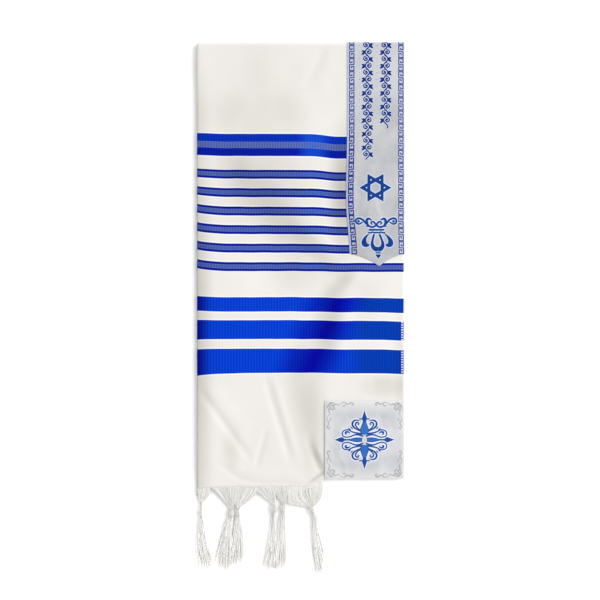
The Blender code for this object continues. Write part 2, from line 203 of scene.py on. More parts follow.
def thicken(piece, thickness):
    """Gives a sheet its thickness, downwards, and even shading over it."""
    wall = piece.modifiers.new("wall", "SOLIDIFY")
    wall.thickness = thickness
    wall.offset = -1
    piece.modifiers.new("flat faces lead", "WEIGHTED_NORMAL")


LIGHT_GAIN = 1.15  # the light makes the pale floor pure white, so the other colours are this much lower


def shade(red, green, blue):
    """A colour read on the 0 to 255 scale, as linear red, green, blue and alpha."""
    scaled = (c / 255 for c in (red, green, blue))
    linear = (c / 12.92 if c <= 0.04045 else ((c + 0.055) / 1.055) ** 2.4 for c in scaled)
    return (*(c / LIGHT_GAIN for c in linear), 1)


class Wire:
    """A socket of a finish, with arithmetic that adds its Math nodes."""

    def __init__(self, finish, socket):
        self.finish, self.socket = finish, socket

    def maths(self, operation, *values, **settings):
        values = dict(enumerate((self, *values)))
        return self.finish.node("ShaderNodeMath", {"operation": operation, **settings}, values)

    def __add__(self, other):
        return self.maths("ADD", other)

    def __sub__(self, other):
        return self.maths("SUBTRACT", other)

    def __rsub__(self, other):
        return self.maths("MULTIPLY_ADD", -1, other)

    def __mul__(self, other):
        return self.maths("MULTIPLY", other)

    def __mod__(self, other):
        return self.maths("FLOORED_MODULO", other)

    __radd__, __rmul__ = __add__, __mul__

    def wave(self, period):
        """A sine of this value, from 0 to 1."""
        return (self * (2 * math.pi / period)).maths("SINE") * 0.5 + 0.5

    def between(self, low, high, sharpness=2.5):
        """1 between low and high and 0 outside, with soft edges."""
        rise = self.maths("MULTIPLY_ADD", sharpness, 0.5 - sharpness * low, use_clamp=True)
        return rise * self.maths("MULTIPLY_ADD", -sharpness, 0.5 + sharpness * high, use_clamp=True)


class Finish:
    """A material whose fixed values are set on its shader and whose varying ones come from nodes."""

    def __init__(self, name, fixed):
        self.material = bpy.data.materials.new(name)
        self.material.use_nodes = True
        self.tree = self.material.node_tree
        self.shader = self.tree.nodes["Principled BSDF"]
        for label, value in fixed.items():
            self.shader.inputs[label].default_value = value

    def node(self, kind, settings, values, output=0):
        made = self.tree.nodes.new(kind)
        for label, value in settings.items():
            setattr(made, label, value)
        for key, value in values.items():
            if isinstance(value, Wire):
                self.tree.links.new(value.socket, made.inputs[key])
            else:
                made.inputs[key].default_value = value
        return Wire(self, made.outputs[output])

    def blend(self, mask, first, second, way="MIX"):
        """One colour where the mask is 0 and another where it is 1."""
        settings = {"data_type": "RGBA", "blend_type": way}
        return self.node("ShaderNodeMix", settings, {0: mask, 6: first, 7: second}, 2)

    def cloth_place(self):
        """Where a point lies on its cloth, as distances across and along it in millimetres."""
        both = self.node("ShaderNodeUVMap", {"uv_map": "cloth"}, {})
        return [self.node("ShaderNodeSeparateXYZ", {}, {0: both}, output) * 1000 for output in (0, 1)]

    def mottle(self, scale, detail=2):
        """Soft noise over the object, from 0 to 1."""
        where = self.node("ShaderNodeTexCoord", {}, {}, output=3)
        return self.node("ShaderNodeTexNoise", {}, {"Vector": where, "Scale": scale, "Detail": detail})

    def relief(self, height, distance):
        """Turns a height from 0 to 1 into bumps that many metres high."""
        self.feed("Normal", self.node("ShaderNodeBump", {}, {"Height": height, "Distance": distance}))

    def feed(self, label, wire):
        self.tree.links.new(wire.socket, self.shader.inputs[label])


# Stripe places down the cloth, in millimetres: a broad pair with a pale middle, six narrow, three wide.
BROAD = (155.5, 169.2, 179.3, 193.0)
NARROW_START, NARROW_PERIOD, NARROW_EDGE, NARROW_WIDTH = 216.2, 31.2, 4.4, 15.3
WIDE = ((431.2, 455.7), (470.1, 502.2), (518.3, 558.9))

# Painted shade: soft darker places painted into the cloth's colour where its folds are shaded.
PAINTED_SHADE_SPOTS = (  # u, v, slant, reach across, reach along and depth of the cloth's softly darker places
    (118, 240, 0.3, 110, 150, 0.3), (126, 284, 0.8, 64, 150, 0.28), (74, 204, 0, 30, 56, 0.1),
    (208, 356, 0.9, 36, 70, 0.3), (250, 250, 0, 36, 150, 0.72), (190, 624, 0.12, 44, 150, 0.38),
    (205, 704, 0.45, 11, 42, 0.5), (206, 734, -1.2, 9, 18, 0.4), (222, 480, -0.1, 36, 100, 0.45),
    (248, 404, -0.8, 24, 44, 0.3), (75, 122, 0, 170, 54, 0.15), (-6, 470, 0, 44, 560, 0.6),
    (352, 560, 0, 26, 190, 0.3), (286, 440, 0, 30, 60, 0.1), (100, 50, 0, 200, 110, 0.08),
    (104, 40, 0.15, 34, 100, 0.08), (160, 122, 0.2, 40, 70, 0.1), (64, 104, -0.4, 30, 60, 0.07),
    (318, 580, 0, 54, 28, 0.32), (166, 392, 0, 56, 44, 0.16), (182, 530, -0.4, 32, 60, 0.16),
    (58, 690, 0.1, 22, 46, 0.25),
)


def striped_wool():
    """Off-white wool in a fine weave, with stripes of blue ribs and paler ribbed bands."""
    wool = Finish("striped wool", {"Specular IOR Level": 0.03})
    u, v = wool.cloth_place()
    narrow = (v - NARROW_START) % NARROW_PERIOD
    in_narrow = v.between(NARROW_START - 1, NARROW_START + 5 * NARROW_PERIOD + NARROW_WIDTH + 1)
    solid_blue = v.between(BROAD[0], BROAD[1]) + v.between(BROAD[2], BROAD[3])
    edge_blue = narrow.between(0, NARROW_EDGE) + narrow.between(NARROW_WIDTH - NARROW_EDGE, NARROW_WIDTH)
    pale = v.between(BROAD[1], BROAD[2]) + in_narrow * narrow.between(NARROW_EDGE, NARROW_WIDTH - NARROW_EDGE)
    bleached = v.between(BROAD[0] - 2, BROAD[3] + 2) + in_narrow * narrow.between(-2, NARROW_WIDTH + 2)
    bleached = bleached + in_narrow * narrow.between(NARROW_PERIOD - 2, NARROW_PERIOD)
    for low, high in WIDE:
        solid_blue = solid_blue + v.between(low, high)
        bleached = bleached + v.between(low - 2, high + 2)
    rib = u.wave(4.9)
    fine_rib = (u + wool.mottle(60) * 1.5).wave(2.7)
    uneven = wool.mottle(9)
    ground = wool.blend(uneven.between(0.5, 9, 2.4), shade(232, 229, 224), shade(238, 235, 230))
    ground = wool.blend(bleached, ground, shade(248, 248, 249))
    # Painted sheen: a lighter band on the blue where a soft fold catches the light.
    painted_sheen = (u - uneven * 14).between(172, 210, 0.05) * v.between(0, 415, 0.05)
    # A slanted line across a soft fold in the wide stripes, along which their shade is painted.
    fold_shade_line, low_part = u + v * 0.41, v.between(415, 600, 0.05)
    blue = wool.blend(rib, shade(0, 50, 194), shade(3, 68, 212))
    for mask, tint in (
        # painted shade, darker towards the right selvage
        (low_part * (u + uneven * 20).between(276, 420, 0.025) * 0.9, shade(0, 56, 168)),
        # painted shade of that soft fold
        (low_part * fold_shade_line.between(368, 458, 0.03) * 0.8, shade(0, 22, 174)),
        # painted shade where the cloth rolls round the side fold
        (low_part * u.between(-50, 14, 0.06) * 0.9, shade(0, 4, 150)),
        (v.between(0, 176, 2), shade(3, 46, 182)),
        (v.between(176, 300, 2), shade(2, 28, 164)),
        # painted sheen
        (painted_sheen * 0.55, shade(20, 88, 214)),
        # the darkest line of the fold's painted shade
        (low_part * fold_shade_line.between(402, 434, 0.045) * 0.9, shade(0, 0, 166)),
    ):
        blue = wool.blend(mask, blue, tint)
    pale_blue = wool.blend(fine_rib, shade(44, 64, 150), shade(110, 130, 194))
    pale_blue = wool.blend(in_narrow * 0.3, pale_blue, shade(28, 74, 172))
    # painted sheen on the pale bands too
    pale_blue = wool.blend(painted_sheen * 0.4, pale_blue, shade(52, 104, 206))
    # Painted shade: the ground darkens along the side fold, where the cloth rolls away from the light.
    ground = wool.blend(u.between(-2, 4.5, 0.3) * 0.4, ground, shade(219, 214, 206))
    colour = wool.blend(solid_blue, ground, blue)
    colour = wool.blend(in_narrow * edge_blue, colour, shade(4, 26, 146))
    colour = wool.blend(pale, colour, pale_blue)
    overcast = u.between(346.0, 349.2) * v.between(465, 570) * v.wave(4.2).between(0.5, 9, 4)
    colour = wool.blend(overcast * 0.95, colour, shade(240, 241, 248))
    # Painted shadow: a thin dark line on the cloth along the corner patch's left edge.
    patch_edge_shadow = u.between(214.8, 217, 1) * v.between(612, 732, 0.5)
    colour = wool.blend(patch_edge_shadow * 0.45, colour, shade(150, 147, 140))
    # Painted shade: each spot darkens the colour towards a warm grey where a fold is shaded.
    painted_shade = 0
    for at_u, at_v, slant, reach_u, reach_v, depth in PAINTED_SHADE_SPOTS:
        across = (u - v * slant + (at_v * slant - at_u)) * (1 / reach_u)
        along = (v - at_v) * (1 / reach_v)
        spot = (across * across + along * along).maths("MULTIPLY_ADD", -1, 1, use_clamp=True)
        painted_shade = spot * spot * depth + painted_shade
    wool.feed("Base Color", wool.blend(painted_shade, colour, shade(196, 193, 188), "MULTIPLY"))
    woven = solid_blue + in_narrow * edge_blue
    wool.feed("Roughness", 0.9 - woven * 0.38)
    twill = ((u + v).wave(0.9) * 0.5 + v.wave(0.62) * 0.5) * (1 - woven)
    wool.relief(twill * 0.3 + rib * solid_blue * 0.9 + fine_rib * pale * 0.6, 0.00035)
    return wool


wool = striped_wool()
panel_u = spread(SIDE_FOLD_REACH, CLOTH_WIDTH, 108)
panel_share = spread(0, 1, 232)


def panel_v(u, share):
    """v of the panel at u, at a share of the way from the top fold to the hem."""
    return TOP_START + share * (front_hem(u) - TOP_START)


def front_sheet():
    """Points, faces and UV places of the front: the panel with its top fold, then the side fold."""
    columns, points, uv = [], [], []
    for u in panel_u:
        from_corner = u - panel_u[0]
        foot = 0.05 * MM + LIFT_OVER_NECKBAND * ease(238 * MM, 250 * MM, u)
        back = min(UNDER_RETURN, from_corner + 0.5 * MM)
        near = 1 - ease(0, 5 * MM, from_corner)
        reach_u, reach_v = 0.8 * SIDE_FOLD_REACH * near, TOP_FOLD_REACH * (1 - 0.2 * near)
        fold = round_fold(u, TOP_START, reach_u, reach_v, foot, back * near, back)
        down = [panel_v(u, share) for share in panel_share]
        columns.append(fold[::-1] + [place(u, v, front_top(u, v)) for v in down])
    turns = FOLD_STEPS + RETURN_STEPS
    count, rows = len(panel_u), turns + len(panel_share)
    for j in range(rows):
        for i, u in enumerate(panel_u):
            points.append(columns[i][j])
            s = panel_v(u, panel_share[j - turns]) if j >= turns else TOP_START * j / turns
            uv.append((u, s - stripe_shift(u, s)))
    faces = []
    for r in range(rows - 1):
        faces += [(k, k + 1, k + count + 1, k + count) for k in range(r * count, (r + 1) * count - 1)]
    before = [r * count for r in range(turns, -1, -1)]
    u = panel_u[0]
    for j, share in enumerate(panel_share[1:], 1):
        v = panel_v(u, share)
        foot = 0.05 * MM + SIDE_FOLD_FOOT * front_top(u, v) * ease(0, 30 * MM, v - TOP_START)
        side = round_fold(u, v, SIDE_FOLD_REACH, 0, foot, min(UNDER_RETURN, v - TOP_START), 0)
        here = [(turns + j) * count] + list(range(len(points), len(points) + len(side)))
        for step, point in enumerate(side, 1):
            points.append(point)
            uv.append((u * (1 - step / turns), v - stripe_shift(0, v)))
        faces += [(here[k], here[k + 1], before[k + 1], before[k]) for k in range(len(side))]
        before = here
    return points, [face[::-1] for face in faces], uv


front = new_piece("front_of_shawl", *front_sheet(), wool)
thicken(front, CLOTH_THICKNESS)
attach(front, "root")
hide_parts("front_cloth")


# The three layers under the front: the same cloth folded back on itself, the lower two a little wider
# and longer. Only their folded and woven edges show.

LAYERS = ((0.05 * MM, 1.5 * MM, 1), (1.6 * MM, 3.05 * MM, 1.4), (3.2 * MM, None, 1))  # foot, top, roundness
EDGE_RISE = ((0.0, 1.2), (0.16, 0.35), (0.5, 0.0), (0.84, 0.35), (1.0, 1.2))  # share of the height, inset


def layer_outline(lower, steps=46):
    """u and v all round one hidden layer, counterclockwise from the side fold's top."""
    top = (17.2 if lower else 19.2) * MM
    right = (349.6 if lower else 348.2) * MM

    def left(v):
        return 0.4 * MM + 13 * MM * (1 - ease(46 * MM, 62 * MM, v)) if lower else 14.9 * MM

    def end(u):
        return back_hem(u) if lower else front_hem(u) - 3.4 * MM

    side = [(left(v), v) for v in spread(top, end(left(0.5)), steps)[:-1]]
    foot = [(u, end(u)) for u in spread(left(0.5), right, steps)[:-1]]
    back = [(right, v) for v in spread(end(right), top, steps)[:-1]]
    return side + foot + back + [(u, top) for u in spread(right, left(top), steps)[:-1]]


def hidden_layers():
    """Points, faces and UV places of the three layers, each a closed flat body with rounded edges."""
    points, faces, uv = [], [], []
    centre_u, centre_v = CLOTH_WIDTH / 2, PATCH_HEM / 2
    for low, high, roundness in LAYERS:
        outline = layer_outline(lower=high is not None)
        first, count = len(points), len(outline)
        for rise, inset in EDGE_RISE:
            for u, v in outline:
                in_u = math.copysign(min(abs(centre_u - u), inset * MM * roundness), centre_u - u)
                in_v = math.copysign(min(abs(centre_v - v), inset * MM), centre_v - v)
                at_side = abs(centre_u - u) > 0.45 * OVERALL_WIDTH
                at_end = abs(centre_v - v) > 0.47 * PATCH_HEM
                at = (u + in_u * at_side, v + in_v * at_end)
                ceiling = high if high else front_top(min(u, CLOTH_WIDTH), v) - CLOTH_THICKNESS - 0.5 * MM
                points.append(place(*at, low + rise * (ceiling - low)))
                uv.append(at)
        rings = len(EDGE_RISE)
        for r in range(rings - 1):
            for k in range(count):
                a, b = first + r * count + k, first + r * count + (k + 1) % count
                faces.append((a, b, b + count, a + count))
        faces.append(tuple(range(first + count - 1, first - 1, -1)))
        faces.append(tuple(range(first + (rings - 1) * count, first + rings * count)))
    return points, faces, uv


hidden = new_piece("hidden_layers", *hidden_layers(), wool)
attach(hidden, "root")
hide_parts("inner_layers")


# The neckband: a silver-grey satin ribbon 95 mm wide, woven with a key border and blue ornament. It is
# sewn on along the selvage, goes over the mid-length fold with the cloth, and ends in a shallow ogee point.

BAND_OUT, SATIN_THICKNESS = 1.15 * MM, 0.6 * MM
BAND_START = (TOP_START - TOP_FOLD_LENGTH) / MM
BAND_RIGHT, BAND_SHOULDER, BAND_POINT, BAND_TIP = 351.2, 358.0, 379.0, 0.54
BAND_COLUMNS, BAND_ROWS, BAND_FOLD_ROWS = 44, 140, 14


def band_left(v):
    """The band's left edge at v, both in millimetres."""
    return 254.4 - 1.8 * math.exp(-(((v - 255) / 60) ** 2)) + 4.4 * ease(270, 366, v)


def band_end(across):
    """v of the band's end, in millimetres, at a share of its width: a shallow ogee point."""
    fall = across / BAND_TIP if across < BAND_TIP else (1 - across) / (1 - BAND_TIP)
    return BAND_SHOULDER + (BAND_POINT - BAND_SHOULDER) * (0.45 * fall + 0.55 * fall**2.2)


def on_front(u, v, out):
    """The point out metres above the front at u and v in millimetres, which goes on round the top fold."""
    past = (TOP_START - v * MM) / TOP_FOLD_LENGTH * math.pi
    if past <= 0:
        return place(u * MM, v * MM, front_top(u * MM, v * MM) + out)
    foot = 0.05 * MM + LIFT_OVER_NECKBAND
    return fold_point(u * MM, TOP_START, 0, TOP_FOLD_REACH, foot, min(past, math.pi), out)


def band_grid():
    """Points, faces and UV places of the band."""
    points, faces, uv = [], [], []
    top = TOP_START / MM
    for j in range(BAND_FOLD_ROWS + BAND_ROWS + 1):
        for across in spread(0, 1, BAND_COLUMNS):
            v = top + (band_end(across) - top) * (j - BAND_FOLD_ROWS) / BAND_ROWS
            if j < BAND_FOLD_ROWS:
                v = BAND_START + (top - BAND_START) * j / BAND_FOLD_ROWS
            u = band_left(v) + across * (BAND_RIGHT - band_left(v))
            edge = min(across, 1 - across, (band_end(across) - v) / 90)
            points.append(on_front(u, v, BAND_OUT - 0.35 * MM * math.exp(-edge * 90 / 1.6)))
            uv.append((u * MM, v * MM))
    row = BAND_COLUMNS + 1
    for r in range(BAND_FOLD_ROWS + BAND_ROWS):
        faces += [(k, k + row, k + row + 1, k + 1) for k in range(r * row, r * row + BAND_COLUMNS)]
    return points, faces, uv


def satin(name, light, dark, borders=None, rim=None):
    """Ribbon satin: fine floats across it, a soft sheen and slight clouding."""
    ribbon = Finish(name, {"Sheen Weight": 0.15, "Sheen Roughness": 0.3, "Specular IOR Level": 0.45})
    u, v = ribbon.cloth_place()
    floats = (v + u * 0.25).wave(0.8)
    cloud = ribbon.mottle(26, 3).between(0.5, 9, 3.4)
    colour = ribbon.blend(cloud * 0.8 + 0.1, dark, light)
    if borders:
        # Painted light: the band's ground is lighter towards its upper end.
        colour = ribbon.blend((v + u * 0.6).between(0, 300, 0.012) * 0.5, colour, shade(214, 214, 220))
        left_edge, right_edge = u.between(250, 267), u.between(340.8, 352)
        colour = ribbon.blend((left_edge + right_edge) * 0.9, colour, borders[0])
        colour = ribbon.blend(left_edge * v.between(190, 400, 0.01), colour, borders[1])
    if rim:
        inside = (u + cloud * 8).between(230, 350, 0.05) * (v + cloud * 8).between(622, 728, 0.05)
        colour = ribbon.blend(inside, rim, colour)
    ribbon.feed("Base Color", ribbon.blend(floats * 0.16, colour, shade(160, 165, 178)))
    ribbon.feed("Roughness", 0.34 + cloud * 0.16)
    ribbon.relief(floats * 0.6 + u.wave(0.55) * 0.4, 0.00012)
    return ribbon


border_grounds = (shade(192, 200, 229), shade(178, 187, 220))
silver = satin("silver satin", shade(202, 202, 204), shade(176, 177, 182), border_grounds)
band = new_piece("neckband_satin", *band_grid(), silver)
thicken(band, SATIN_THICKNESS)
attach(band, "root")
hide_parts("neckband")


# The neckband's woven figures: blue weft that floats over the satin as thin raised strokes.
# A key border runs down both edges, and vines, a six-pointed star and a scrolled crown lie between them.

class Figure:
    """Strokes laid on the cloth, each a thin ridge with its middle raised, at places in millimetres."""

    def __init__(self, out, rise, edging=None, grow=0.8):
        self.out, self.rise, self.edging, self.grow = out, rise, edging, grow
        self.points, self.faces, self.uv = [], [], []

    def put(self, x, y, raised):
        self.points.append(on_front(x, y, self.out + 0.05 * MM + (self.rise if raised else 0)))
        self.uv.append((x * MM, y * MM))

    def stroke(self, path, half_widths, closed=False):
        """A line through the path's points, with one half width or one for each point."""
        count = len(path)
        widths = half_widths if hasattr(half_widths, "__len__") else [half_widths] * count
        if self.edging:
            self.edging.stroke(path, [w + self.grow for w in widths], closed)
        first = len(self.points)
        for k, (x, y) in enumerate(path):
            before = path[k - 1] if k or closed else path[0]
            after = path[(k + 1) % count] if k < count - 1 or closed else path[-1]
            legs = [Vector((x - before[0], y - before[1])), Vector((after[0] - x, after[1] - y))]
            legs = [leg.normalized() for leg in legs if leg.length > 1e-6]
            along = sum(legs, Vector((0, 0))).normalized()
            mitre = widths[k] / max(0.5, along.dot(legs[0]))
            side = Vector((-along.y, along.x)) * mitre
            self.put(x + side.x, y + side.y, False)
            self.put(x, y, widths[k] > 0.15)
            self.put(x - side.x, y - side.y, False)
        for k in range(count if closed else count - 1):
            a, b = first + 3 * k, first + 3 * ((k + 1) % count)
            self.faces += [(a, a + 1, b + 1, b), (a + 1, a + 2, b + 2, b + 1)]

    def disc(self, x, y, radius, sides=14):
        """A low round dot."""
        if self.edging:
            self.edging.disc(x, y, radius + self.grow)
        first = len(self.points)
        for ring_radius, raised in ((radius, False), (0.7 * radius, True)):
            for k in range(sides):
                turn = 2 * math.pi * k / sides
                self.put(x + ring_radius * math.cos(turn), y + ring_radius * math.sin(turn), raised)
        for k in range(sides):
            a, b = first + k, first + (k + 1) % sides
            self.faces.append((a, b, b + sides, a + sides))
        self.faces.append(tuple(range(first + sides, first + 2 * sides)))

    def piece(self, name, finish, slot):
        made = new_piece(name, self.points, self.faces, self.uv, finish)
        work = bmesh.new()
        work.from_mesh(made.data)
        for face in work.faces:
            face.normal_update()
        bmesh.ops.reverse_faces(work, faces=[face for face in work.faces if face.normal.z < 0])
        work.to_mesh(made.data)
        work.free()
        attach(made, "root")


def curve(points, per_leg=6):
    """A smooth line through points, with per_leg steps between each two."""
    ends = [points[0]] + list(points) + [points[-1]]
    line = []
    for before, here, there, after in zip(ends, ends[1:], ends[2:], ends[3:]):
        for step in range(per_leg):
            t = step / per_leg
            line.append(tuple(
                0.5 * (2 * b + (c - a) * t + (2 * a - 5 * b + 4 * c - d) * t * t
                       + (3 * b - a - 3 * c + d) * t**3)
                for a, b, c, d in zip(before, here, there, after)
            ))
    return line + [tuple(points[-1])]


def curl(x, y, radius, start, turns, inner=0.25):
    """A spiral inwards about x and y, from start degrees; negative turns go the other way."""
    steps = max(8, round(abs(turns) * 20))
    spiral = []
    for k in range(steps + 1):
        share = k / steps
        turn = math.radians(start) + 2 * math.pi * turns * share
        reach = radius * (1 - (1 - inner) * share)
        spiral.append((x + reach * math.cos(turn), y + reach * math.sin(turn)))
    return spiral


def swelling(count, ends, middle, power=1.0):
    """Half widths for count points: ends at both ends and middle between them."""
    return [ends + (middle - ends) * math.sin(math.pi * k / (count - 1)) ** power for k in range(count)]


def leaf(figure, x, y, degrees, length, half_width, bend=0.0):
    """A pointed leaf from x and y, whose tip bends sideways."""
    turn = math.radians(degrees)
    path = []
    for share in spread(0, 1, 8):
        along, aside = length * share, bend * length * share * share
        at_x = x + along * math.cos(turn) - aside * math.sin(turn)
        path.append((at_x, y + along * math.sin(turn) + aside * math.cos(turn)))
    figure.stroke(path, swelling(9, 0.05, half_width, 0.8))


KEY_START, KEY_PITCH, KEY_REPEATS, KEY_WIDTH = -15.6, 22.1, 17, 7.3
KEY = (  # share of the border's width, millimetres down
    (0.55, 3.8), (0.55, 6.6), (0, 6.6), (0, 0), (1, 0), (1, 10),
    (0, 10), (0, 20), (1, 20), (1, 13.4), (0.45, 13.4), (0.45, 16.2),
)


def key_border(figure, left, flip):
    """Two square spirals joined as an S, one S below the other."""
    for number in range(KEY_REPEATS):
        top = KEY_START + KEY_PITCH * number
        path = []
        for start, end in zip(KEY, KEY[1:] + KEY[-1:]):
            for step in (0, 0.2, 0.4, 0.6, 0.8) if abs(end[1] - start[1]) > 4 else (0,):
                across, down = (a + (b - a) * step for a, b in zip(start, end))
                if top + down > BAND_START and top < BAND_SHOULDER - 19:
                    across = 1 - across if flip else across
                    path.append((left(top + down) + KEY_WIDTH * across, top + down))
        if path:
            figure.stroke(path, 0.85 if flip else 0.85 + 0.17 * ease(110, 190, top))


def vine(figure, u, start, end):
    """A wavy stem with a spiral twig inside each bend and two leaves outside it."""
    period = 23.0
    down = spread(start, end, round((end - start) / 1.6))
    figure.stroke([(u + 3.6 * math.sin(2 * math.pi * v / period), v) for v in down], 1.1)
    bend = math.ceil(start / (period / 2))
    while (bend + 0.5) * period / 2 < end - 4:
        v = (bend + 0.5) * period / 2
        side = -1 if bend % 2 else 1
        twig = [(u + 1.6 * side, v - 5.6), (u, v - 5.4)]
        twig += curl(u - 2.6 * side, v - 0.2, 4.3, -90, -1.15 * side, 0.32)
        figure.stroke(twig, swelling(len(twig), 0.6, 1.15))
        figure.disc(u - 2.6 * side, v - 0.4, 1.3)
        leaf(figure, u + 3.4 * side, v - 0.8, 90 - side * 38, 8.6, 2.2, -0.2 * side)
        leaf(figure, u + 3.4 * side, v - 0.6, 90 - side * 108, 6.4, 1.8, 0.2 * side)
        bend += 1


def axis(v):
    """The middle line of the band's figures at v."""
    return 302.3 + 0.02 * (v - 246.5) + 2.8 * ease(300, 380, v)


def star(figure, u, v, radius, grow=0.0):
    """A six-pointed star with a six-sided opening, in rings fine enough to follow the cloth."""
    first, rings = len(figure.points), 6
    corners = []
    for k in range(13):
        turn = math.pi * k / 6
        outer = radius + 1.7 * grow if k % 2 == 0 else radius / math.sqrt(3) + grow
        inner = (0.31 if k % 2 == 0 else 0.36) * radius - grow
        corners.append([Vector((reach * math.cos(turn), reach * math.sin(turn))) for reach in (outer, inner)])
    for start, end in zip(corners, corners[1:]):
        for step in spread(0, 1, 6)[:-1]:
            outer, inner = (a.lerp(b, step) for a, b in zip(start, end))
            for ring in range(rings):
                at = outer.lerp(inner, ring / (rings - 1))
                figure.put(u + at.x, v + at.y, 0 < ring < rings - 1)
    count = (len(figure.points) - first) // rings
    for k in range(count):
        a, b = first + rings * k, first + rings * ((k + 1) % count)
        figure.faces += [(a + r, a + r + 1, b + r + 1, b + r) for r in range(rings - 1)]


def crown(figure, v):
    """Two scrolled brows over two bars, three petals below them and a small bud at the end."""
    for side in (-1, 1):
        def at(*points):
            return curve([(axis(v + y) + side * x, v + y) for x, y in points])

        brow = at((22.4, 8.8), (25.0, 9.8), (28.0, 11.5), (31.6, 11.3), (34.2, 8.4), (34.0, 4.6),
                  (31.0, 2.4), (27.2, 2.4), (22.6, 4.8), (18.0, 9.8), (13.2, 14.6), (7.6, 16.9),
                  (2.6, 15.6), (-1.2, 11.8), (-4.2, 8.4), (-7.4, 8.0), (-8.8, 10.4), (-6.8, 12.4))
        figure.stroke(brow, swelling(len(brow), 0.9, 1.75, 0.5))
        figure.disc(axis(v) + side * 29.6, v + 7.2, 2.3)
        leaf_curl = at((7.6, 5.6), (10.4, 3.3), (14.2, 3.4), (16.0, 6.6), (15.0, 10.6), (12.6, 14.4))
        figure.stroke(leaf_curl, swelling(len(leaf_curl), 0.5, 2.3, 0.8))
        figure.stroke(at((11.4, 15.4), (14.6, 15.8), (18.2, 15.2)), swelling(13, 0.1, 1.2))
        figure.stroke(at((0, 21.6), (12.8, 21.6)), 1.65)
        figure.stroke(at((0, 25.8), (3.6, 26.6), (7.0, 25.6), (10.4, 26.6), (14.4, 26.3)), 1.4)
        petal = at((4.4, 29.0), (6.3, 34.0), (8.1, 40.0), (9.0, 45.4), (7.8, 50.2), (4.6, 53.6), (0, 54.8))
        figure.stroke(petal, [1.8 + 2.2 * ease(0.2, 0.9, k / (len(petal) - 1)) for k in range(len(petal))])
        wing = at((13.6, 28.8), (18.6, 33.4), (22.0, 39.6), (22.2, 45.0), (18.4, 47.4), (13.8, 47.0))
        widths = [0.9 + 3.6 * math.sin(math.pi * (k / (len(wing) - 1)) ** 1.4) for k in range(len(wing))]
        figure.stroke(wing, widths)
        figure.stroke(at((0, 60.5), (4.2, 60.5)), 1.15)
    tip = axis(v + 66)
    figure.stroke([(tip, v + 63.2), (tip, v + 65.4), (tip + 0.3, v + 70.2)], [4.3, 4.1, 0.1])


key = Figure(BAND_OUT, 0.2 * MM)
pale = Figure(BAND_OUT, 0.03 * MM)
woven = Figure(BAND_OUT + 0.1 * MM, 0.16 * MM, pale, 1.4)
vines = Figure(BAND_OUT + 0.1 * MM, 0.16 * MM, pale, 0.9)
bright = Figure(BAND_OUT + 0.25 * MM, 0.15 * MM)
key_border(key, lambda v: band_left(v) + 4.3, False)
key_border(key, lambda v: 341.7 + 0.8 * ease(300, 358, v), True)
vine(vines, 288.6, -6.0, 199.0)
vine(vines, 319.6, -6.0, 146.0)
for dots_u, dot_count in ((275.8, 16), (305.0, 11)):
    for k in range(dot_count):
        vines.disc(dots_u, 6 + 11.5 * k, 0.75)
STAR_V, STAR_RADIUS, STAR_DOTS_RADIUS = 246.5, 27.3, 15.2
star(woven, axis(STAR_V), STAR_V, STAR_RADIUS)
star(pale, axis(STAR_V), STAR_V, STAR_RADIUS, 1.5)
for k in range(6):
    turn = math.pi * k / 3
    at_u = axis(STAR_V) + STAR_DOTS_RADIUS * math.cos(turn)
    bright.disc(at_u, STAR_V + STAR_DOTS_RADIUS * math.sin(turn), 1.3)
crown(woven, 296.0)


def woven_blue(name, light, dark):
    """Blue weft floats with a slight gloss."""
    weft = Finish(name, {"Specular IOR Level": 0.12})
    u, v = weft.cloth_place()
    floats = (u * 0.5 + v).wave(0.7)
    weft.feed("Base Color", weft.blend(floats * 0.5 + weft.mottle(40) * 0.5, dark, light))
    weft.feed("Roughness", 0.5 + floats * 0.12)
    weft.relief(floats, 0.0001)
    return weft


navy = woven_blue("navy weft", shade(5, 74, 158), shade(0, 42, 116))
woven.piece("neckband_figures", navy, "neckband_satin")
deep_blue = woven_blue("vine weft", shade(16, 54, 140), shade(6, 28, 98))
vines.piece("neckband_vines", deep_blue, "neckband_satin")
dull_blue = woven_blue("border weft", shade(46, 64, 140), shade(26, 40, 106))
key.piece("neckband_key_borders", dull_blue, "neckband_satin")
pale_weft = satin("pale weft", shade(222, 232, 250), shade(204, 218, 244))
pale.piece("figure_edging", pale_weft, "neckband_satin")
white_dot = satin("white dot", shade(225, 235, 250), shade(205, 218, 240))
bright.piece("star_dots", white_dot, "neckband_satin")


# The corner patch: a silver-grey satin square sewn over the shawl's corner to strengthen it. It has a woven
# blue medallion, scrolls in its own colour along the edges, and a stitched eyelet in the middle.

PATCH_LEFT, PATCH_TOP, PATCH_RIGHT, PATCH_BOTTOM = 216.5, 606.2, 351.0, 738.3
PATCH_U, PATCH_V = (PATCH_LEFT + PATCH_RIGHT) / 2, (PATCH_TOP + PATCH_BOTTOM) / 2


def patch_grid(steps=54):
    """Points, faces and UV places of the patch, which is lower at its turned-in edges."""
    points, faces, uv = [], [], []
    for v in spread(PATCH_TOP, PATCH_BOTTOM, steps):
        for u in spread(PATCH_LEFT, PATCH_RIGHT, steps):
            inward = min(u - PATCH_LEFT, PATCH_RIGHT - u, v - PATCH_TOP, PATCH_BOTTOM - v)
            points.append(on_front(u, v, BAND_OUT - 0.4 * math.exp(-inward / 1.5) * MM))
            uv.append((u * MM, v * MM))
    row = steps + 1
    for r in range(steps):
        faces += [(k, k + row, k + row + 1, k + 1) for k in range(r * row, r * row + steps)]
    return points, faces, uv


patch_satin = satin("patch satin", shade(219, 219, 221), shade(194, 195, 200), rim=shade(230, 229, 228))
patch = new_piece("corner_patch_satin", *patch_grid(), patch_satin)
thicken(patch, SATIN_THICKNESS)
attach(patch, "root")
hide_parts("corner_patch")

